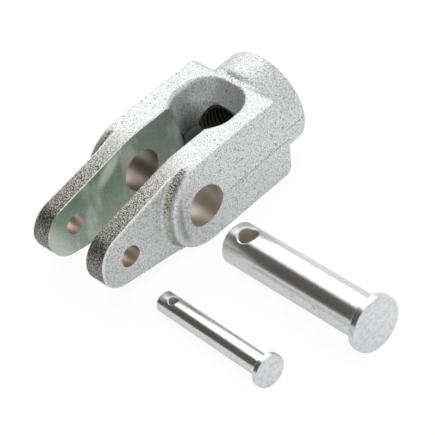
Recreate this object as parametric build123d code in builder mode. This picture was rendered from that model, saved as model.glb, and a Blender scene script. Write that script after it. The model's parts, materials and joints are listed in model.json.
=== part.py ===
from build123d import *
from math import asin, atan2, cos, degrees, hypot, radians, sin, tan
import os

# Clevis rod end: a forged yoke with a threaded barrel, and its two headed pins lying beside it.
# Sizes are in millimetres and angles in degrees. The origin is the centre of the clevis pin bore, midway
# between the legs. +X runs towards the barrel, parallel to the rod thread, +Y along the pin bores, and +Z
# is up. The bores are drilled a little above the middle of the forging, so the thread lies below them.

# Pin bores of the yoke
clevis_pin_d = 12.7
clevis_pin_clearance = 0.1
link_pin_d = 6.35
link_pin_clearance = 0.095
bore_spacing = 26.5

# Distance that the forging's parting plane lies below the bores' axes
forging_drop = 0.55

# Legs, forged in two dies that part on one plane
draft_angle = 7.0
leg_half_width = 14.95
tip_radius = 8.7
tip_centre_x = -28.0
taper_start_x = -1.2
taper_blend = 25.0
leg_edge_round = 0.6
leg_edge_end_x = -8.8

# Block behind the legs, with its pads round the clevis pin bore, which stand out from the legs by a step
block_half_height = 14.2
pad_step = 3.7
block_rear_x = 34.8
pad_nose_x = -12.3
pad_foot_fillet = 2.2
block_edge_round = 0.9
block_rear_round = 2.8

# Barrel, which swells out of the top and bottom of the block
barrel_radius = 15.5
barrel_front_x = 32.4
barrel_front_depth = 1.6
barrel_swell_length = 5.2
barrel_swell_slope = 1.3
barrel_rear_x = 44.9
barrel_rim_round = 1.1
neck_fillet = 2.2

# Pocket left open by the dies, given at the parting plane, where it is smallest
pocket_half_width = 8.65
pocket_rear_x = 26.9
pocket_corner_radius = 6.0
pocket_shoulder_x = 20.5
pocket_shoulder_radius = 6.0
pocket_neck_angle = 35.0
pocket_neck_half_width = 5.35
pocket_mouth_round = 1.5

# The pocket's rear wall leans back from this height up to its mouth
pocket_flare_height = 8.0
pocket_mouth_x = 32.2
pocket_mouth_corner_radius = 8.3

# Slot milled between the legs after forging
slot_half_width = 7.6
slot_end_x = 16.2

# Rod thread, whose bore is as wide as the thread's roots
thread_root_radius = 7.94
thread_mouth_chamfer = 1.0

# Pins, with their lengths from the free end to the underside of the head
clevis_pin_length = 51.5
clevis_pin_head_radius = 8.35
clevis_pin_head_thickness = 2.99
clevis_pin_end_chamfer = 1.0
clevis_pin_head_round = 0.9
link_pin_length = 41.4
link_pin_head_radius = 4.95
link_pin_head_thickness = 2.19
link_pin_end_chamfer = 0.8
link_pin_head_round = 0.7

# Cotter holes of the pins, with their distances from the free end
clevis_cotter_d = 5.6
clevis_cotter_x = 6.24
clevis_cotter_mouth_round = 0.5
link_cotter_d = 2.8
link_cotter_x = 5.1
link_cotter_mouth_round = 0.25

# Where the pins' free ends lie on the ground, and which way their heads point from there
clevis_pin_place = (-2.02, -28.17)
clevis_pin_heading = -92.8
link_pin_place = (-28.84, -25.29)
link_pin_heading = -93.7

draft_slope = tan(radians(draft_angle))
clevis_bore_radius = clevis_pin_d / 2 + clevis_pin_clearance
link_bore_radius = link_pin_d / 2 + link_pin_clearance
tip_x = tip_centre_x - tip_radius
pad_centre_x = pad_nose_x + block_half_height
leg_top_half_width = leg_half_width - block_half_height * draft_slope
block_half_width = leg_half_width + pad_step
barrel_front_radius = block_half_height - barrel_front_depth

# Stock left beyond a face that a later cut trims, and the nearness at which an edge counts as on a plane
past = 2.0
near = 0.3

# The leg's edge is tangent to the round of the tip
taper_run = taper_start_x - tip_centre_x
taper_angle = atan2(block_half_height, taper_run) - asin(tip_radius / hypot(block_half_height, taper_run))
tangent_x = tip_centre_x - tip_radius * sin(taper_angle)
tangent_z = tip_radius * cos(taper_angle)

# The legs start as one drafted bar, taller than they end up and running well into the block
bar_height = block_half_height + pad_foot_fillet + past
bar_rear_x = pad_centre_x + block_half_height
with BuildPart() as leg_bar:
    with BuildSketch(Plane.YZ.offset(tip_x - past)):
        Trapezoid(2 * leg_half_width, bar_height, 90 - draft_angle, align=(Align.CENTER, Align.MIN))
    extrude(amount=bar_rear_x - tip_x + past)

# Upper half of the block, rounded in front into the pads
with BuildPart() as block:
    with BuildSketch(Plane.XZ) as block_side:
        with BuildLine():
            Line((block_rear_x, 0), (block_rear_x, block_half_height))
            Line((block_rear_x, block_half_height), (pad_centre_x, block_half_height))
            RadiusArc((pad_centre_x, block_half_height), (pad_nose_x, 0), -block_half_height)
            Line((pad_nose_x, 0), (block_rear_x, 0))
        make_face()
        rear_corner = block_side.vertices().sort_by_distance((block_rear_x, block_half_height))[0]
        fillet(rear_corner, block_rear_round)
    extrude(amount=block_half_width, both=True)
    with BuildSketch(Plane.YZ.offset(pad_nose_x - past)):
        Trapezoid(2 * block_half_width, bar_height, 90 - draft_angle, align=(Align.CENTER, Align.MIN))
    extrude(amount=block_rear_x - pad_nose_x + 2 * past, mode=Mode.INTERSECT)

# What the dies leave of the bar in side view
with BuildPart() as side_form:
    with BuildSketch(Plane.XZ) as leg_side:
        with BuildLine():
            Line((block_rear_x + past, 0), (block_rear_x + past, block_half_height))
            Line((block_rear_x + past, block_half_height), (taper_start_x, block_half_height))
            Line((taper_start_x, block_half_height), (tangent_x, tangent_z))
            RadiusArc((tangent_x, tangent_z), (tip_x, 0), -tip_radius)
            Line((tip_x, 0), (block_rear_x + past, 0))
        make_face()
        fillet(leg_side.vertices().sort_by_distance((taper_start_x, block_half_height))[0], taper_blend)
    extrude(amount=block_half_width + past, both=True)

# Upper half of the forging
with BuildPart() as forging_half:
    add(leg_bar.part)
    add(block.part)
    nose_edges = forging_half.edges().filter_by(GeomType.ELLIPSE).filter_by(lambda e: e.center().X < 0)
    fillet(nose_edges.sort_by(lambda e: abs(e.center().Y))[:2], pad_foot_fillet)
    nose_edges = forging_half.edges().filter_by(GeomType.ELLIPSE).filter_by(lambda e: e.center().X < 0)
    fillet(nose_edges.sort_by(lambda e: abs(e.center().Y))[-2:], block_edge_round)
    add(side_form.part, mode=Mode.INTERSECT)

# Upper half of the barrel
with BuildPart() as barrel:
    with BuildSketch() as barrel_side:
        with BuildLine():
            full_x = barrel_front_x + barrel_swell_length
            swell_ends = (barrel_front_x, barrel_front_radius), (full_x, barrel_radius)
            Line((barrel_front_x, 0), (barrel_front_x, barrel_front_radius))
            Spline(*swell_ends, tangents=((1, barrel_swell_slope), (1, 0)))
            Line((full_x, barrel_radius), (barrel_rear_x, barrel_radius))
            Line((barrel_rear_x, barrel_radius), (barrel_rear_x, 0))
            Line((barrel_rear_x, 0), (barrel_front_x, 0))
        make_face()
        fillet(barrel_side.vertices().sort_by_distance((barrel_rear_x, barrel_radius))[0], barrel_rim_round)
    revolve(axis=Axis.X, revolution_arc=180)


def pocket_outline(height, rear_x, corner_radius):
    """Outline of the pocket and of the raw gap in front of it, at a height above the parting plane."""
    half_width = pocket_half_width + height * draft_slope
    neck_half_width = pocket_neck_half_width + height * draft_slope
    with BuildSketch(Plane.XY.offset(height)) as outline:
        with BuildLine():
            shoulder = JernArc(
                (pocket_shoulder_x, half_width),
                (-1, 0),
                pocket_shoulder_radius + height * draft_slope,
                pocket_neck_angle,
            )
            neck_drop = (shoulder @ 1).Y - neck_half_width
            neck_x = (shoulder @ 1).X - neck_drop / tan(radians(pocket_neck_angle))
            Line(shoulder @ 1, (neck_x, neck_half_width))
            Line((neck_x, neck_half_width), (tip_x - past, neck_half_width))
            Line((tip_x - past, neck_half_width), (tip_x - past, 0))
            Line((tip_x - past, 0), (rear_x, 0))
            Line((rear_x, 0), (rear_x, half_width))
            Line((rear_x, half_width), (pocket_shoulder_x, half_width))
        make_face()
        fillet(outline.vertices().sort_by_distance((rear_x, half_width, height))[0], corner_radius)
        mirror(about=Plane.XZ)
    return outline


# Pocket and raw gap between the legs, as the upper die leaves them, steeper at the foot of the rear wall
flare_x = pocket_rear_x + pocket_flare_height * draft_slope
flare_corner_radius = pocket_corner_radius + pocket_flare_height * draft_slope
flare_share = (block_half_height + past - pocket_flare_height) / (block_half_height - pocket_flare_height)
top_x = flare_x + (pocket_mouth_x - flare_x) * flare_share
top_corner_radius = flare_corner_radius + (pocket_mouth_corner_radius - flare_corner_radius) * flare_share
parting_outline = pocket_outline(0, pocket_rear_x, pocket_corner_radius)
flare_outline = pocket_outline(pocket_flare_height, flare_x, flare_corner_radius)
top_outline = pocket_outline(block_half_height + past, top_x, top_corner_radius)
with BuildPart() as pocket_floor:
    loft([parting_outline.sketch, flare_outline.sketch], ruled=True)
with BuildPart() as pocket_mouth:
    loft([flare_outline.sketch, top_outline.sketch], ruled=True)

# The half forging with its barrel and pocket
with BuildPart() as upper_half:
    add(forging_half.part)
    add(barrel.part)
    rear_edges = upper_half.edges().filter_by_position(Axis.X, block_rear_x - near, block_rear_x + near)
    tall_edges = rear_edges.filter_by(lambda e: e.bounding_box().size.Z > neck_fillet)
    fillet(tall_edges.filter_by(lambda e: e.bounding_box().size.Y > neck_fillet), neck_fillet)
    add(pocket_floor.part, mode=Mode.SUBTRACT)
    add(pocket_mouth.part, mode=Mode.SUBTRACT)
    top_edges = upper_half.edges().filter_by(lambda e: e.bounding_box().min.Z > block_half_height - 0.1 * near)
    inner_edges = top_edges.filter_by(lambda e: abs(e.center().Y) < leg_top_half_width - near)
    mouth = inner_edges.filter_by(lambda e: e.center().X < block_rear_x - block_rear_round - near)
    fillet(mouth, pocket_mouth_round)

# The legs' outer edges are rounded up to where the foot of the pads meets them
with BuildPart() as leg_fronts:
    add(upper_half.part)
    split(bisect_by=Plane.YZ.offset(leg_edge_end_x), keep=Keep.BOTTOM)
    outer_edges = leg_fronts.edges().filter_by(lambda e: abs(e.center().Y) > leg_top_half_width - near)
    long_edges = outer_edges.filter_by(lambda e: e.bounding_box().size.X > tip_radius * 0.7)
    fillet(long_edges.filter_by(lambda e: e.center().Z > near), leg_edge_round)

# Both halves of the forging, joined on the parting plane
with BuildPart() as forging:
    add(upper_half.part)
    split(bisect_by=Plane.YZ.offset(leg_edge_end_x), keep=Keep.TOP)
    add(leg_fronts.part)
    mirror(about=Plane.XY)
    with BuildSketch() as thread_bore:
        with BuildLine():
            bore_front_x = pocket_rear_x - pocket_corner_radius
            Polyline(
                (bore_front_x, 0),
                (bore_front_x, thread_root_radius),
                (barrel_rear_x - thread_mouth_chamfer, thread_root_radius),
                (barrel_rear_x, thread_root_radius + thread_mouth_chamfer),
                (barrel_rear_x + past, thread_root_radius + thread_mouth_chamfer),
                (barrel_rear_x + past, 0),
                close=True,
            )
        make_face()
    revolve(axis=Axis.X, mode=Mode.SUBTRACT)

# The yoke: the forging, with the milled slot and the bores
with BuildPart() as clevis_yoke:
    with Locations((0, 0, -forging_drop)):
        add(forging.part)
    with Locations((tip_x - past, 0, 0)):
        Box(
            slot_end_x - tip_x + past, 2 * slot_half_width, 4 * block_half_height,
            align=(Align.MIN, Align.CENTER, Align.CENTER), mode=Mode.SUBTRACT,
        )
    with BuildSketch(Plane.XZ):
        Circle(clevis_bore_radius)
        with Locations((-bore_spacing, 0)):
            Circle(link_bore_radius)
    extrude(amount=block_half_width + past, both=True, mode=Mode.SUBTRACT)
clevis_yoke.part.label = "clevis_yoke"

# Ground on which the yoke rests by its barrel rim and the front of its block
ground_run = barrel_rear_x - barrel_rim_round - pad_centre_x
ground_slope = atan2(barrel_radius - block_half_height, ground_run)
ground = Plane((pad_centre_x, 0, -forging_drop - block_half_height)).rotated((0, degrees(ground_slope), 0))


def headed_pin(radius, length, head_radius, head_thickness, end_chamfer, head_round, cotter, place, heading):
    """Round pin with a flat head and a cotter hole, lying on the ground on its free end and its head."""
    cotter_d, cotter_x, cotter_mouth_round = cotter
    tilt = atan2(head_radius - radius, length - end_chamfer)
    end_height = radius * cos(tilt) - end_chamfer * sin(tilt)
    end = Location((*place, end_height), (0, 0, heading)) * Location((0, 0, 0), (0, -degrees(tilt), 0))
    lie = Plane(ground.location * end)
    with BuildPart() as pin:
        with BuildSketch(lie) as pin_side:
            with BuildLine():
                Polyline(
                    (0, 0),
                    (0, radius),
                    (length, radius),
                    (length, head_radius),
                    (length + head_thickness, head_radius),
                    (length + head_thickness, 0),
                    close=True,
                )
            make_face()
            chamfer(pin_side.vertices().sort_by_distance((0, radius))[0], end_chamfer)
            fillet(pin_side.vertices().sort_by_distance((length, radius))[0], head_round)
            fillet(pin_side.vertices().sort_by_distance((length, head_radius))[0], head_round / 2)
            face_corner = (length + head_thickness, head_radius)
            fillet(pin_side.vertices().sort_by_distance(face_corner)[0], head_round)
        revolve(axis=Axis(lie.origin, lie.x_dir))
        with BuildSketch(lie):
            with Locations((cotter_x, 0)):
                Circle(cotter_d / 2)
        extrude(amount=2 * radius, both=True, mode=Mode.SUBTRACT)
        fillet(pin.edges(Select.LAST).filter_by(GeomType.BSPLINE), cotter_mouth_round)
    return pin


large_clevis_pin = headed_pin(
    clevis_pin_d / 2,
    clevis_pin_length,
    clevis_pin_head_radius,
    clevis_pin_head_thickness,
    clevis_pin_end_chamfer,
    clevis_pin_head_round,
    (clevis_cotter_d, clevis_cotter_x, clevis_cotter_mouth_round),
    clevis_pin_place,
    clevis_pin_heading,
)
large_clevis_pin.part.label = "large_clevis_pin"

small_clevis_pin = headed_pin(
    link_pin_d / 2,
    link_pin_length,
    link_pin_head_radius,
    link_pin_head_thickness,
    link_pin_end_chamfer,
    link_pin_head_round,
    (link_cotter_d, link_cotter_x, link_cotter_mouth_round),
    link_pin_place,
    link_pin_heading,
)
small_clevis_pin.part.label = "small_clevis_pin"

os.makedirs("parts", exist_ok=True)
export_step(clevis_yoke.part, "parts/clevis_yoke.step")
export_step(large_clevis_pin.part, "parts/large_clevis_pin.step")
export_step(small_clevis_pin.part, "parts/small_clevis_pin.step")
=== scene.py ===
import json
from math import atan2, cos, pi, radians, sin, tan
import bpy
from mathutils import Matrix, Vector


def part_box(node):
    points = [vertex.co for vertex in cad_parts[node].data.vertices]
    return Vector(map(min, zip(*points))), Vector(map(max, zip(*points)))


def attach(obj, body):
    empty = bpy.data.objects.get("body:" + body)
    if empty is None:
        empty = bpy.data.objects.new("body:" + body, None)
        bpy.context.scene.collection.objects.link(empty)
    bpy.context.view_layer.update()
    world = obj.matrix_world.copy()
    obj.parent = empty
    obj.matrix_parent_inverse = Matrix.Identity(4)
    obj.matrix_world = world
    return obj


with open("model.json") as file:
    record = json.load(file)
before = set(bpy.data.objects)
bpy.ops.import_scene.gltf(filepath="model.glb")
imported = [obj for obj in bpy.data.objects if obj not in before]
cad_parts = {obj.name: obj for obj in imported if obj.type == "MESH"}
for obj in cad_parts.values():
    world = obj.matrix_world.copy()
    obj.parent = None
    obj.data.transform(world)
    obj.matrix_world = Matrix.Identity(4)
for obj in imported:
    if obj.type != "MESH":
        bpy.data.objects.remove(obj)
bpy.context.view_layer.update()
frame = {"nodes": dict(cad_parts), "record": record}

from types import SimpleNamespace

import bmesh
import bpy
from bpy.props import FloatProperty, FloatVectorProperty, IntProperty, PointerProperty
from mathutils import Matrix, Vector

bl_info = {
    "name": "Clevis rod end",
    "version": (1, 0, 0),
    "blender": (4, 5, 0),
    "location": "View3D > Sidebar > Clevis",
    "description": "Dresses a forged clevis and its two loose pins, and sets them on a pale studio floor",
    "category": "Object",
}

# Lengths are in metres. +X runs towards the barrel, +Y along the pin bores and +Z is up.
MM = 0.001
MOUNTS = {mount["name"]: mount for mount in frame["record"]["mounts"]}
_, YOKE_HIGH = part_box("clevis_yoke")
ROD_BORE_RADIUS = MOUNTS["rod_thread"]["dims"]["r_mm"] * MM
PARTING_Z = MOUNTS["rod_thread"]["pos_m"][2]
BARREL_RADIUS = YOKE_HIGH.z - PARTING_Z
BARREL_END_X = YOKE_HIGH.x
LARGE_PIN_LOW, LARGE_PIN_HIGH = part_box("large_clevis_pin")
SMALL_PIN_LOW, SMALL_PIN_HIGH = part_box("small_clevis_pin")
LARGE_HEAD_Y = LARGE_PIN_LOW.y + 0.9 * MM
SMALL_HEAD_Y = SMALL_PIN_LOW.y + 0.7 * MM
LARGE_PIN_MIDDLE = (LARGE_PIN_LOW.y + LARGE_PIN_HIGH.y) / 2
SMALL_PIN_SIDE = (SMALL_PIN_HIGH.x + LARGE_PIN_LOW.x) / 2
LARGE_PIN_DENT = Vector((-7.8, -65.1, -5.1)) * MM

# Sizes of the yoke that its box and mounts don't give
BLOCK_HALF_HEIGHT = 14.2 * MM
PAD_CENTRE_X = 1.9 * MM
LEG_HALF_WIDTH = 14.95 * MM
SLOT_HALF_WIDTH = 7.6 * MM
SLOT_END_X = 16.2 * MM
POCKET_HALF_WIDTH = 8.65 * MM
POCKET_REAR_X = 26.9 * MM
POCKET_CORNER = 6.0 * MM
DRAFT = tan(radians(7.0))
THREAD_MOUTH = 1.0 * MM
RIM_ROUND = 1.1 * MM
# The ridge of the thread starts this far in front of its bore, and is then cut back to the pocket
THREAD_LEAD = 6.0 * MM
# A clearance where two surfaces would otherwise lie in one another
HAIR = 0.03 * MM

# The stage, also in metres
FLOOR_SIZE = 4.0
LAMP_SIZE = 0.8
LAMP_DISTANCE = 0.8
CARD_SIZE = 1.0
CARD_DISTANCE = 0.9
# The way that reflections sweep as a pin's shank turns away to the left
CARD_SWEEP = Vector((-0.67, 0.0, -0.74))
CAMERA_AIM = Vector((4.931, -15.711, -10.030)) * MM


class ThreadSettings(bpy.types.PropertyGroup):
    """Sizes of the rod thread"""

    pitch: FloatProperty(
        name="Pitch", description="Distance from one turn to the next",
        default=1.411 * MM, subtype="DISTANCE",
    )
    height: FloatProperty(
        name="Height", description="How far the ridge stands in from its roots",
        default=0.76 * MM, subtype="DISTANCE",
    )
    steps: IntProperty(name="Steps", description="Flats in one turn of the ridge", default=64, min=12)


class ForgingSettings(bpy.types.PropertyGroup):
    """Colours and grain of the yoke"""

    bright: FloatVectorProperty(
        name="Bright zinc", description="Zinc on the high spots of the grain",
        subtype="COLOR", size=3, default=(0.87, 0.89, 0.90),
    )
    dull: FloatVectorProperty(
        name="Dull zinc", description="Zinc down in the grain",
        subtype="COLOR", size=3, default=(0.52, 0.53, 0.52),
    )
    warm: FloatVectorProperty(
        name="Warm zinc", description="High spots of the coarse skin on the legs' narrow faces",
        subtype="COLOR", size=3, default=(0.72, 0.71, 0.65),
    )
    crevice: FloatVectorProperty(
        name="Crevices", description="Low spots of the coarse skin",
        subtype="COLOR", size=3, default=(0.10, 0.092, 0.08),
    )
    milled: FloatVectorProperty(
        name="Milled faces", description="Zinc on the milled slot",
        subtype="COLOR", size=3, default=(0.27, 0.35, 0.29),
    )
    milky: FloatVectorProperty(
        name="Milky patches", description="Paler patches of the zinc on the milled slot",
        subtype="COLOR", size=3, default=(0.80, 0.86, 0.78),
    )
    bored: FloatVectorProperty(
        name="Bores", description="Zinc on the walls of the bores",
        subtype="COLOR", size=3, default=(0.62, 0.53, 0.46),
    )
    # Painted shade: this near-black colour darkens the low part and rear wall of the pocket, the thread, its
    # bore and the far leg's bore, standing in for the shade there
    pocket: FloatVectorProperty(
        name="Pocket", description="Thin zinc deep in the pocket and on the thread",
        subtype="COLOR", size=3, default=(0.03, 0.03, 0.028),
    )
    grain: FloatProperty(
        name="Grain", description="Distance between the bumps of the skin",
        default=0.42 * MM, subtype="DISTANCE",
    )
    grain_depth: FloatProperty(
        name="Grain depth", description="Depth of the bumps of the skin",
        default=0.07 * MM, subtype="DISTANCE",
    )
    pad_groove: FloatProperty(
        name="Pad groove", description="Depth of the shallow groove behind the nose of each pad",
        default=0.35 * MM, subtype="DISTANCE",
    )


class PinSettings(bpy.types.PropertyGroup):
    """Colours of the pins"""

    bright: FloatVectorProperty(
        name="Bright zinc", description="Zinc on the turned shanks",
        subtype="COLOR", size=3, default=(0.75, 0.76, 0.75),
    )
    satin: FloatVectorProperty(
        name="Satin zinc", description="Zinc on the heads",
        subtype="COLOR", size=3, default=(0.78, 0.805, 0.82),
    )
    worn: FloatVectorProperty(
        name="Worn zinc", description="Zinc in the spots and nicks",
        subtype="COLOR", size=3, default=(0.50, 0.52, 0.53),
    )
    dull: FloatVectorProperty(
        name="Dull zinc", description="Zinc in the cotter holes",
        subtype="COLOR", size=3, default=(0.66, 0.57, 0.50),
    )


class StageSettings(bpy.types.PropertyGroup):
    """Floor, light and camera"""

    floor: FloatVectorProperty(
        name="Floor", description="Colour of the floor",
        subtype="COLOR", size=3, default=(0.95, 0.95, 0.95),
    )
    glow: FloatProperty(
        name="Floor glow", description="Strength of the floor's glow, so that it is white to the camera",
        default=1.05,
    )
    glow_seen: FloatProperty(
        name="Glow seen", description="How much of the floor the camera sees as glow",
        default=0.86, min=0, max=1,
    )
    glow_mirrored: FloatProperty(
        name="Glow mirrored", description="How much of the floor the metal mirrors as glow",
        default=0.32, min=0, max=1,
    )
    room: FloatProperty(
        name="Room light", description="Strength of the light from all round", default=0.88, min=0,
    )
    lamp: FloatProperty(
        name="Lamp", description="Power of the soft lamp behind the clevis", default=1.5, min=0,
    )
    lamp_direction: FloatVectorProperty(
        name="Lamp direction", description="Way from the clevis to the lamp",
        size=3, default=(0.42, 0.62, 0.66),
    )
    card: FloatVectorProperty(
        name="Card", description="Colour of the dark card",
        subtype="COLOR", size=3, default=(0.11, 0.10, 0.09),
    )
    card_direction: FloatVectorProperty(
        name="Card direction", description="Way from the clevis to the dark card",
        size=3, default=(-0.50, 0.70, 0.46),
    )
    distance: FloatProperty(
        name="Camera distance", description="From the lens to the point aimed at",
        default=550.5 * MM, subtype="DISTANCE",
    )
    azimuth: FloatProperty(
        name="Camera azimuth", description="Turn of the view from looking along +Y",
        default=radians(37.555), subtype="ANGLE",
    )
    elevation: FloatProperty(
        name="Camera elevation", description="How far the view looks down",
        default=radians(43.293), subtype="ANGLE",
    )
    roll: FloatProperty(
        name="Camera roll", description="Tilt of the picture",
        default=radians(12.416), subtype="ANGLE",
    )
    lens: FloatProperty(
        name="Lens", description="Focal length in millimetres on a 36 mm frame", default=160.156,
    )


def deselect_all():
    """Clears the selection, which the next operator would act on."""
    if bpy.context.object and bpy.context.object.mode != "OBJECT":
        bpy.ops.object.mode_set(mode="OBJECT")
    bpy.ops.object.select_all(action="DESELECT")


def select_in_mesh(piece, kind, test):
    """Selects the faces, edges or vertices of the piece, in edit mode, that pass the test."""
    mesh = bmesh.from_edit_mesh(piece.data)
    for element in [*mesh.verts, *mesh.edges, *mesh.faces]:
        element.select_set(False)
    for element in getattr(mesh, kind):
        if test(element):
            element.select_set(True)
    mesh.select_flush_mode()
    bmesh.update_edit_mesh(piece.data)


def name_piece(piece, name):
    """Names a new piece and its mesh, and puts its place into the mesh."""
    bpy.ops.object.transform_apply(location=True, rotation=True, scale=True)
    piece.name = name
    piece.data.name = name
    return piece


def apply_modifier(piece, kind, **settings):
    """Adds a modifier with these settings and applies it."""
    modifier = piece.modifiers.new(kind.lower(), kind)
    for setting, value in settings.items():
        setattr(modifier, setting, value)
    bpy.context.view_layer.objects.active = piece
    bpy.ops.object.modifier_apply(modifier=modifier.name)


class Wire:
    """A number on its way between nodes. The usual operators add Math nodes."""

    def __init__(self, tree, socket):
        self.tree = tree
        self.socket = socket

    def math(self, operation, *others, first=None):
        node = self.tree.nodes.new("ShaderNodeMath")
        node.operation = operation
        values = [first, self] if first is not None else [self, *others]
        for socket, value in zip(node.inputs, values):
            if isinstance(value, Wire):
                self.tree.links.new(value.socket, socket)
            else:
                socket.default_value = value
        return Wire(self.tree, node.outputs[0])

    def __add__(self, other):
        return self.math("ADD", other)

    def __radd__(self, other):
        return self.math("ADD", first=other)

    def __sub__(self, other):
        return self.math("SUBTRACT", other)

    def __rsub__(self, other):
        return self.math("SUBTRACT", first=other)

    def __mul__(self, other):
        return self.math("MULTIPLY", other)

    def __rmul__(self, other):
        return self.math("MULTIPLY", first=other)

    def __abs__(self):
        return self.math("ABSOLUTE")

    def __lt__(self, other):
        return self.math("LESS_THAN", other)

    def __gt__(self, other):
        return self.math("GREATER_THAN", other)

    def at_most(self, other):
        return self.math("MINIMUM", other)

    def at_least(self, other):
        return self.math("MAXIMUM", other)

    def root(self):
        return self.math("SQRT")


class Finish:
    """One material, with a single method that adds any node but a Math node."""

    def __init__(self, name):
        self.material = bpy.data.materials.new(name)
        self.material.use_nodes = True
        self.tree = self.material.node_tree
        self.tree.nodes.clear()

    def node(self, kind, settings=None, **values):
        """Adds a node, makes its settings, and fills or links its sockets. Their names have _ for a space."""
        node = self.tree.nodes.new(kind)
        for setting, value in (settings or {}).items():
            setattr(node, setting, value)
        for name, value in values.items():
            socket = self.find_socket(node.inputs, name)
            if isinstance(value, Wire):
                self.tree.links.new(value.socket, socket)
            elif isinstance(value, bpy.types.NodeSocket):
                self.tree.links.new(value, socket)
            else:
                socket.default_value = value
        return node

    def find_socket(self, sockets, name):
        label = name.replace("_", " ").lower()
        return next(socket for socket in sockets if socket.enabled and socket.name.lower() == label)

    def number(self, node, output):
        return Wire(self.tree, self.find_socket(node.outputs, output))

    def place(self):
        """Object coordinates, as a vector socket and as three numbers in millimetres."""
        coordinates = self.node("ShaderNodeTexCoord").outputs["Object"]
        parts = self.node("ShaderNodeSeparateXYZ", Vector=coordinates)
        return coordinates, [Wire(self.tree, parts.outputs[axis]) * (1 / MM) for axis in "XYZ"]

    def offset(self, place, point):
        """From a point in metres to the place, in millimetres."""
        return [part - middle / MM for part, middle in zip(place, point)]

    def length(self, *parts):
        """Length of a vector, from its parts."""
        return sum((part * part for part in parts[1:]), parts[0] * parts[0]).root()

    def from_wall(self, place, mount):
        """How far outside the wall of the mount's bore a place is, in millimetres."""
        a, b, c = self.offset(place, mount["pos_m"])
        u, v, w = mount["axis"]
        return self.length(b * w - c * v, c * u - a * w, a * v - b * u) - mount["dims"]["r_mm"]

    def inside(self, place, mount_name):
        """1 within the mount's bore, its wall taken in, and 0 elsewhere."""
        return self.from_wall(place, MOUNTS[mount_name]) < HAIR / MM

    def noise(self, where, size, detail=2.0, roughness=0.5):
        """Noise from 0 to 1 whose lumps are about the given size in metres."""
        node = self.node("ShaderNodeTexNoise", Vector=where, Scale=1 / size, Detail=detail, Roughness=roughness)
        return self.number(node, "Fac")

    def cells(self, where, size):
        """Distance to the nearest of scattered points, from 0 at the point to about 1 between them."""
        node = self.node(
            "ShaderNodeTexVoronoi", {"feature": "SMOOTH_F1"}, Vector=where, Scale=1 / size, Smoothness=0.6
        )
        return self.number(node, "Distance")

    def stretch(self, where, scale, turn=(0.0, 0.0, 0.0)):
        """The coordinates turned and scaled, for a pattern that runs along one way."""
        return self.node("ShaderNodeMapping", Vector=where, Rotation=turn, Scale=scale).outputs["Vector"]

    def blend(self, factor, low, high):
        """A colour between two, each a colour or a socket."""
        node = self.node("ShaderNodeMix", {"data_type": "RGBA"})
        for socket, value in zip((node.inputs[0], node.inputs[6], node.inputs[7]), (factor, low, high)):
            if isinstance(value, (Wire, bpy.types.NodeSocket)):
                self.tree.links.new(getattr(value, "socket", value), socket)
            else:
                socket.default_value = value if isinstance(value, float) else (*value[:3], 1.0)
        return node.outputs[2]

    def step(self, value, low, high):
        """0 below low, 1 above high, smooth between."""
        settings = {"interpolation_type": "SMOOTHSTEP"}
        node = self.node("ShaderNodeMapRange", settings, Value=value, From_Min=low, From_Max=high)
        return self.number(node, "Result")

    def metal(self, colour, roughness, metallic, height, depth, shine=0.5):
        """Ends the material in a metal with this colour, roughness and bump.

        Shine is how much it mirrors where it isn't metallic.
        """
        bump = self.node("ShaderNodeBump", Strength=1.0, Distance=depth, Height=height)
        surface = self.node(
            "ShaderNodeBsdfPrincipled", Base_Color=colour, Roughness=roughness, Metallic=metallic,
            Normal=bump.outputs["Normal"], Specular_IOR_Level=shine,
        )
        self.node("ShaderNodeOutputMaterial", Surface=surface.outputs[0])
        return self.material


# The colours among the settings of the yoke
COLOURS_OF_YOKE = ("bright", "dull", "warm", "crevice", "milled", "milky", "bored", "pocket")


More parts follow.
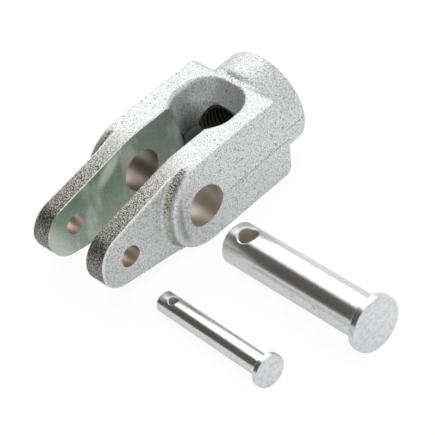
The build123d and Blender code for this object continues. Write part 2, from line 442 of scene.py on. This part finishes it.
def yoke_masks(finish, place):
    """Where each kind of surface of the yoke lies, as numbers from 0 to 1."""
    x, y, z = place
    masks = SimpleNamespace()
    height = abs(z - PARTING_Z / MM)
    side = abs(y)
    behind_slot = x > SLOT_END_X / MM + 0.02

    # Faces that are cut: the milled slot, the bores through the legs and the thread's bore
    masks.slot = (side < SLOT_HALF_WIDTH / MM + 0.02) * (x < SLOT_END_X / MM + 0.02)
    masks.bore = finish.inside(place, "clevis_pin_bore").at_least(finish.inside(place, "link_pin_bore"))
    masks.thread = finish.inside(place, "rod_thread") * behind_slot
    masks.cut = masks.slot.at_least(masks.bore).at_least(masks.thread)

    # The pocket, and how far down in it: its low part, its rear wall and the thread's bore get painted shade
    pocket = (side < POCKET_HALF_WIDTH / MM + 2.4) * (x < POCKET_REAR_X / MM + 6) * behind_slot
    masks.pocket = (pocket * (height < BLOCK_HALF_HEIGHT / MM - 0.3)).at_least(masks.thread)
    low_down = 1 - finish.step(z, -5.0, 9.0)
    masks.deep = low_down.at_least(0.35 * finish.step(x, 24.0, 28.0)).at_least(masks.thread)

    # The narrow faces of the legs and the creases at the feet of the pads have a coarser, darker skin; in the
    # creases the darkness is partly painted shade
    past_leg = side - (LEG_HALF_WIDTH / MM - DRAFT * height)
    reach = finish.length(x - PAD_CENTRE_X / MM, height)
    # A strip along the far leg's inner top edge keeps the plain, brighter skin as a painted highlight
    inner_edge = (y > 0) * (y < SLOT_HALF_WIDTH / MM + 0.4)
    narrow = (past_leg < -0.5) * (1 - finish.step(x, -16.0, 6.0)) * (1 - inner_edge)
    foot = finish.step(past_leg, 0.05, 0.5) * (1 - finish.step(past_leg, 1.6, 2.8))
    masks.crease = foot * finish.step(reach, 13.6, 14.0)
    masks.coarse = narrow.at_least(masks.crease * (x < -2.0) * (0.55 + 0.45 * finish.step(height, 2.0, 7.0)))
    # Painted highlight: a bright line along the rounded outer top edges of the legs towards their tips
    edge = finish.step(past_leg, -0.7, -0.5) * (1 - finish.step(past_leg, -0.3, -0.12))
    masks.worn_edge = edge * (x < -6.0)

    # The line where the dies met, and the shallow groove behind the nose of each pad
    masks.seam = (1 - finish.step(height, 0.1, 0.5)) * finish.step(x, 4.0, 14.0)
    groove = finish.step(reach, 9.6, 11.2) * (1 - finish.step(reach, 11.6, 13.4))
    masks.groove = groove * (1 - finish.step(x, -9.0, -6.5)) * (past_leg > 2.4)
    return masks


def milled_blooms(finish, where, place):
    """Where the plating on the milled faces is milky: one patch, the tips of the legs and some streaks."""
    x, _, z = place
    streaks = finish.noise(finish.stretch(where, (1.0, 1.0, 0.3), (0.0, radians(50.0), 0.0)), 5 * MM, 3.0)
    # The patch is a long oval between the bores, high on the leg, and rises towards the barrel
    from_patch_x, from_patch_z = x + 11.5, z - 8.5
    across = 0.54 * from_patch_x - 0.84 * from_patch_z
    along = 0.84 * from_patch_x + 0.54 * from_patch_z
    patch = 1 - finish.step((across * across * 0.25 + along * along * 0.03).root(), 0.2, 1.6)
    tips = 0.6 * (1 - finish.step(x + 0.4 * z, -36.0, -29.0))
    return patch.at_least(tips).at_least(0.5 * finish.step(streaks, 0.5, 0.75))


def forging_finish(settings):
    """Zinc over a forged skin, smooth where the slot and the bores are cut, with painted shade down in the
    pocket, in the thread's bore, the far leg's bore and the pads' creases and grooves, and painted highlights
    along the legs' edges.
    """
    finish = Finish("forged_zinc")
    where, place = finish.place()
    x, y, _ = place
    masks = yoke_masks(finish, place)
    colours = {name: tuple(getattr(settings, name)) for name in COLOURS_OF_YOKE}

    # The skin is pebbles with a finer grain and a few pits
    pebbles = finish.cells(where, settings.grain)
    small_pebbles = finish.cells(where, 0.78 * settings.grain)
    fine = finish.noise(where, 0.25 * MM, 3.0, 0.6)
    broad = finish.noise(where, 6 * MM, 3.0, 0.5)
    pits = 1 - finish.step(finish.noise(where, 0.7 * MM, 1.0, 0.5), 0.23, 0.36)
    skin = 1 - pebbles + 0.4 * (fine - 0.5) - 0.5 * pits

    # Colour of the forged skin, plain and coarse
    plain = finish.blend(finish.step(skin, 0.25, 0.75), colours["dull"], colours["bright"])
    plain = finish.blend(0.3 * broad, plain, colours["dull"])
    # Stains: pits and dark specks on the die line; in the groove behind each pad's nose the darkening is
    # painted shade
    stains_and_groove_shade = (0.4 * masks.groove).at_least(0.75 * pits).at_least(0.55 * masks.seam * (fine > 0.5))
    plain = finish.blend(stains_and_groove_shade, plain, colours["crevice"])
    # Darker towards the tips of the legs, and a little darker in the creases at the feet of the pads as painted
    # shade
    darker = 0.16 * finish.step(-1 * x, 8.0, 34.0) + 0.05 * masks.crease
    lumps = finish.step(1 - small_pebbles + 0.5 * (fine - 0.5) - darker, 0.2, 0.85)
    coarse = finish.blend(lumps, colours["crevice"], colours["warm"])
    forged = finish.blend(masks.coarse, plain, coarse)
    # Painted highlight along the rounded outer top edges of the legs
    forged = finish.blend(0.7 * masks.worn_edge, forged, colours["bright"])
    # Painted shade: the near-black pocket colour over the low part and rear wall of the pocket
    forged = finish.blend(0.92 * masks.pocket * masks.deep, forged, colours["pocket"])

    # Colour of the cut faces: milky blooms on the milled slot, and clouds in the bores
    marks = finish.noise(where, 0.35 * MM, 3.0)
    clouds = finish.noise(where, 7 * MM, 1.0, 0.4)
    bloom = milled_blooms(finish, where, place)
    milky = (0.18 + bloom + 1.1 * (marks - 0.5)).at_least(0.0).at_most(1.0)
    milled = finish.blend(milky, colours["milled"], colours["milky"])
    bored = finish.blend(0.7 * finish.step(clouds, 0.42, 0.7), colours["bored"], colours["milky"])
    # Painted shade: the far leg's part of the bore nearer the barrel, and the thread's bore, take the
    # near-black pocket colour
    bored = finish.blend(0.5 * (y > 0) * (x > -15.0), bored, colours["pocket"])
    cut = finish.blend(masks.thread, finish.blend(masks.bore, milled, bored), colours["pocket"])
    colour = finish.blend(masks.cut, forged, cut)

    forged_roughness = 0.34 + 0.12 * fine + 0.12 * broad
    cut_roughness = 0.28 + 0.1 * marks + 0.14 * masks.bore + 0.4 * masks.thread
    roughness = (1 - masks.cut) * forged_roughness + masks.cut * cut_roughness

    relief = (0.9 - 0.5 * masks.coarse) * skin - 0.9 * masks.coarse * small_pebbles
    bump = settings.grain_depth / MM * relief + 0.04 * masks.seam - settings.pad_groove / MM * masks.groove
    bump = (1 - masks.cut) * bump + masks.cut * 0.004 * marks

    matt = masks.slot * (0.2 + 0.35 * bloom + 0.35 * finish.step(x, -20.0, 8.0))
    shallow = 0.5 * masks.pocket * (1 - masks.cut) * (1 - masks.deep)
    metallic = 1 - matt.at_least(0.95 * masks.thread).at_least(shallow)
    return finish.metal(colour, roughness, metallic, bump, MM)


def thread_finish(settings):
    """Dull zinc on the rod thread, a little uneven, painted near-black as shade."""
    finish = Finish("thread_zinc")
    where, _ = finish.place()
    grain = finish.noise(where, 0.4 * MM, 3.0, 0.6)
    colour = finish.blend(grain, tuple(settings.pocket), tuple(settings.crevice))
    return finish.metal(colour, 0.55 + 0.2 * grain, 0.0, 0.01 * grain, MM, shine=0.08)


def pin_finish(settings):
    """Bright zinc with rings, nicks and a dent, satin on the heads and dull in the cotter holes."""
    finish = Finish("pin_zinc")
    where, place = finish.place()
    x, y, _ = place
    small = x < SMALL_PIN_SIDE / MM
    large_cotter = finish.inside(place, "large_pin_cotter_hole") * (y > LARGE_PIN_MIDDLE / MM)
    small_cotter = finish.inside(place, "small_pin_cotter_hole") * small
    cotter = large_cotter.at_least(small_cotter)
    head = (1 - finish.step(y, LARGE_HEAD_Y / MM, LARGE_HEAD_Y / MM + 0.8)).at_least(
        small * (1 - finish.step(y, SMALL_HEAD_Y / MM, SMALL_HEAD_Y / MM + 0.6))
    )
    rings = finish.noise(finish.stretch(where, (0.1, 1.0, 0.1)), 0.15 * MM, 2.0)
    mottle = finish.noise(where, 1.2 * MM, 4.0, 0.6)
    grain = finish.noise(where, 0.3 * MM, 2.0, 0.6)
    nicks = finish.step(finish.noise(where, 0.6 * MM, 2.0, 0.7), 0.62, 0.72)
    colour = finish.blend(head, tuple(settings.bright), tuple(settings.satin))
    spots = finish.step(mottle + 0.6 * grain, 0.7, 1.0) * (0.45 + 0.2 * head)
    colour = finish.blend(spots.at_least(0.4 * nicks), colour, tuple(settings.worn))
    dent = 1 - finish.step(finish.length(*finish.offset(place, LARGE_PIN_DENT)), 0.2, 1.1)
    colour = finish.blend(0.5 * dent, colour, tuple(settings.worn))
    colour = finish.blend(cotter, colour, tuple(settings.dull))
    roughness = 0.18 + 0.12 * mottle + 0.12 * head + 0.2 * cotter
    bump = 0.003 * rings + (0.006 + 0.012 * head) * mottle - 0.004 * nicks + (0.006 + 0.004 * head) * grain
    return finish.metal(colour, roughness, 1 - 0.4 * cotter, bump - 0.2 * dent, MM)


class CLEVIS_OT_thread(bpy.types.Operator):
    """Model the ridge of the rod thread inside the barrel"""

    bl_idname = "clevis.thread"
    bl_label = "Rod thread"

    def execute(self, context):
        settings = context.scene.clevis_thread
        crest = ROD_BORE_RADIUS - settings.height
        deselect_all()
        bpy.ops.mesh.primitive_circle_add(vertices=4, radius=settings.pitch / 2)
        ridge = context.object
        # The ridge starts as one section, whose base is sunk in the wall and whose crest faces the axis
        root = ROD_BORE_RADIUS + HAIR
        half_base = 0.46 * settings.pitch
        half_crest = 0.08 * settings.pitch
        corners = ((-half_base, root), (half_base, root), (half_crest, crest), (-half_crest, crest))
        start_x = POCKET_REAR_X - THREAD_LEAD
        for vertex, (along, out) in zip(ridge.data.vertices, corners):
            vertex.co = (start_x + along, 0.0, out)
        turns = int((BARREL_END_X - start_x) / settings.pitch)
        apply_modifier(
            ridge, "SCREW", axis="X", angle=2 * pi * turns, screw_offset=turns * settings.pitch,
            steps=settings.steps * turns, render_steps=settings.steps * turns, use_merge_vertices=False,
        )
        bpy.ops.object.mode_set(mode="EDIT")
        bpy.ops.mesh.select_mode(type="EDGE")
        bpy.ops.mesh.select_all(action="DESELECT")
        bpy.ops.mesh.select_non_manifold()
        bpy.ops.mesh.edge_face_add()
        bpy.ops.mesh.select_all(action="SELECT")
        bpy.ops.mesh.normals_make_consistent(inside=False)
        bpy.ops.object.mode_set(mode="OBJECT")
        for cutter in (self.pocket_cutter(), self.mouth_cutter()):
            apply_modifier(ridge, "BOOLEAN", operation="DIFFERENCE", object=cutter, solver="EXACT")
            bpy.data.objects.remove(cutter)
        deselect_all()
        ridge.select_set(True)
        bpy.ops.transform.translate(value=(0, 0, PARTING_Z))
        name_piece(ridge, "rod_thread")
        ridge.data.materials.clear()
        ridge.data.materials.append(thread_finish(context.scene.clevis_forging))
        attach(ridge, "root")
        return {"FINISHED"}

    def pocket_cutter(self):
        """The room that the pocket leaves in front of the bore, narrowest at the parting plane."""
        deselect_all()
        bpy.ops.mesh.primitive_cube_add(size=1.0)
        cutter = bpy.context.object
        cutter.scale = (POCKET_REAR_X, 2 * POCKET_HALF_WIDTH, 2 * BLOCK_HALF_HEIGHT)
        cutter.location = (POCKET_REAR_X / 2, 0, 0)
        bpy.ops.object.transform_apply(location=True, rotation=True, scale=True)
        bpy.ops.object.mode_set(mode="EDIT")
        select_in_mesh(cutter, "edges", self.is_rear_corner)
        bpy.ops.mesh.bevel(offset=POCKET_CORNER, segments=12, affect="EDGES")
        bpy.ops.mesh.select_all(action="SELECT")
        bpy.ops.mesh.bisect(plane_co=(0, 0, 0), plane_no=(0, 0, 1))
        select_in_mesh(cutter, "faces", lambda face: abs(face.normal.z) > 0.9)
        grow = BLOCK_HALF_HEIGHT * DRAFT
        bpy.ops.transform.resize(
            value=(1 + grow / POCKET_REAR_X, 1 + grow / POCKET_HALF_WIDTH, 1.0), center_override=(0, 0, 0),
            orient_type="GLOBAL",
        )
        bpy.ops.object.mode_set(mode="OBJECT")
        return cutter

    def is_rear_corner(self, edge):
        """Whether an edge of the cutter is upright and at its rear."""
        start, end = (vertex.co for vertex in edge.verts)
        return min(start.x, end.x) > 0 and start.z * end.z < 0

    def mouth_cutter(self):
        """The cone that the mouth of the thread is chamfered to, and all that lies past it."""
        deselect_all()
        bpy.ops.mesh.primitive_cone_add(
            vertices=96, radius1=ROD_BORE_RADIUS, radius2=ROD_BORE_RADIUS + 2 * THREAD_MOUTH,
            depth=2 * THREAD_MOUTH, location=(BARREL_END_X, 0, 0), rotation=(0, pi / 2, 0),
        )
        cutter = bpy.context.object
        bpy.ops.object.transform_apply(location=True, rotation=True, scale=True)
        return cutter


class CLEVIS_OT_forging(bpy.types.Operator):
    """Give the yoke its zinc-plated forged and milled surfaces"""

    bl_idname = "clevis.forging"
    bl_label = "Forged yoke"

    def execute(self, context):
        material = forging_finish(context.scene.clevis_forging)
        for slot in frame["nodes"]["clevis_yoke"].material_slots:
            slot.material = material
        return {"FINISHED"}


class CLEVIS_OT_pins(bpy.types.Operator):
    """Give both pins their bright zinc plating"""

    bl_idname = "clevis.pins"
    bl_label = "Clevis pins"

    def execute(self, context):
        material = pin_finish(context.scene.clevis_pins)
        for name in ("large_clevis_pin", "small_clevis_pin"):
            for slot in frame["nodes"][name].material_slots:
                slot.material = material
        return {"FINISHED"}


class CLEVIS_OT_stage(bpy.types.Operator):
    """Set the floor, the light and the camera"""

    bl_idname = "clevis.stage"
    bl_label = "Studio stage"

    def execute(self, context):
        settings = context.scene.clevis_stage
        self.floor(settings)
        self.room(context.scene, settings)
        self.lamp(settings)
        self.camera(context.scene, settings)
        context.scene.view_settings.view_transform = "Standard"
        return {"FINISHED"}

    def floor(self, settings):
        """A wide pale floor under the barrel's rim and the front of the block."""
        run = BARREL_END_X - RIM_ROUND - PAD_CENTRE_X
        slope = atan2(BARREL_RADIUS - BLOCK_HALF_HEIGHT, run)
        deselect_all()
        bpy.ops.mesh.primitive_grid_add(
            x_subdivisions=8, y_subdivisions=8, size=FLOOR_SIZE, rotation=(0, slope, 0),
            location=(PAD_CENTRE_X, 0, PARTING_Z - BLOCK_HALF_HEIGHT - HAIR),
        )
        floor = bpy.context.object
        name_piece(floor, "studio_floor")
        finish = Finish("studio_floor")
        paint = finish.node("ShaderNodeBsdfDiffuse", Color=(*settings.floor, 1.0))
        glow = finish.node("ShaderNodeEmission", Color=(1.0, 1.0, 1.0, 1.0), Strength=settings.glow)
        ray = finish.node("ShaderNodeLightPath")
        seen = finish.number(ray, "Is Camera Ray") * settings.glow_seen
        mirrored = finish.number(ray, "Is Glossy Ray") * settings.glow_mirrored
        mixed = finish.node("ShaderNodeMixShader", Fac=seen + mirrored)
        finish.tree.links.new(paint.outputs[0], mixed.inputs[1])
        finish.tree.links.new(glow.outputs[0], mixed.inputs[2])
        finish.node("ShaderNodeOutputMaterial", Surface=mixed.outputs[0])
        floor.data.materials.append(finish.material)

    def room(self, scene, settings):
        """Even white light from all round."""
        world = bpy.data.worlds.new("room")
        world.use_nodes = True
        world.node_tree.nodes["Background"].inputs["Color"].default_value = (1.0, 1.0, 1.0, 1.0)
        world.node_tree.nodes["Background"].inputs["Strength"].default_value = settings.room
        scene.world = world

    def lamp(self, settings):
        """One large soft lamp behind on the right, and a dark card on the left for the metal's dark bands."""
        deselect_all()
        direction = Vector(settings.lamp_direction).normalized()
        facing = direction.to_track_quat("Z", "Y").to_euler()
        bpy.ops.object.light_add(type="AREA", location=direction * LAMP_DISTANCE, rotation=facing)
        lamp = bpy.context.object
        lamp.name = "soft_lamp"
        lamp.data.size = LAMP_SIZE
        lamp.data.energy = settings.lamp
        # One side of the card runs along the sweep, squared to the way it faces
        direction = Vector(settings.card_direction).normalized()
        sweep = (CARD_SWEEP - direction * CARD_SWEEP.dot(direction)).normalized()
        turn = Matrix((sweep, direction.cross(sweep), direction)).transposed()
        bpy.ops.mesh.primitive_grid_add(
            x_subdivisions=2, y_subdivisions=2, size=CARD_SIZE, location=direction * CARD_DISTANCE,
            rotation=turn.to_euler(),
        )
        card = bpy.context.object
        name_piece(card, "dark_card")
        finish = Finish("dark_card")
        paint = finish.node("ShaderNodeBsdfDiffuse", Color=(*settings.card, 1.0))
        finish.node("ShaderNodeOutputMaterial", Surface=paint.outputs[0])
        card.data.materials.append(finish.material)
        card.visible_camera = False

    def camera(self, scene, settings):
        """The camera looks down on the clevis from in front and to the left."""
        azimuth, elevation = settings.azimuth, settings.elevation
        forward = Vector((sin(azimuth) * cos(elevation), cos(azimuth) * cos(elevation), -sin(elevation)))
        right = forward.cross(Vector((0, 0, 1))).normalized()
        up = right.cross(forward)
        turn = Matrix.Rotation(settings.roll, 3, forward)
        right, up = turn @ right, turn @ up
        place = CAMERA_AIM - forward * settings.distance
        deselect_all()
        bpy.ops.object.camera_add()
        camera = bpy.context.object
        camera.name = "studio_camera"
        camera.matrix_world = Matrix.Translation(place) @ Matrix((right, up, -forward)).transposed().to_4x4()
        camera.data.lens = settings.lens
        camera.data.sensor_width = 36.0
        camera.data.clip_start = 0.01
        scene.camera = camera


class CLEVIS_PT_panel(bpy.types.Panel):
    """Lists the pieces of the clevis"""

    bl_idname = "CLEVIS_PT_panel"
    bl_label = "Clevis rod end"
    bl_space_type = "VIEW_3D"
    bl_region_type = "UI"
    bl_category = "Clevis"

    def draw(self, context):
        for operator in OPERATORS:
            self.layout.operator(operator.bl_idname)
        for name, _ in SETTINGS:
            box = self.layout.box()
            group = getattr(context.scene, name)
            for setting in group.__annotations__:
                box.prop(group, setting)


OPERATORS = (CLEVIS_OT_forging, CLEVIS_OT_pins, CLEVIS_OT_thread, CLEVIS_OT_stage)
SETTINGS = (
    ("clevis_thread", ThreadSettings),
    ("clevis_forging", ForgingSettings),
    ("clevis_pins", PinSettings),
    ("clevis_stage", StageSettings),
)


def register():
    for name, group in SETTINGS:
        bpy.utils.register_class(group)
        setattr(bpy.types.Scene, name, PointerProperty(type=group))
    for item in (*OPERATORS, CLEVIS_PT_panel):
        bpy.utils.register_class(item)


def unregister():
    for item in reversed((*OPERATORS, CLEVIS_PT_panel)):
        bpy.utils.unregister_class(item)
    for name, group in reversed(SETTINGS):
        delattr(bpy.types.Scene, name)
        bpy.utils.unregister_class(group)


def main():
    register()
    bpy.ops.clevis.forging()
    bpy.ops.clevis.pins()
    bpy.ops.clevis.thread()
    bpy.ops.clevis.stage()


if __name__ == "__main__":
    main()
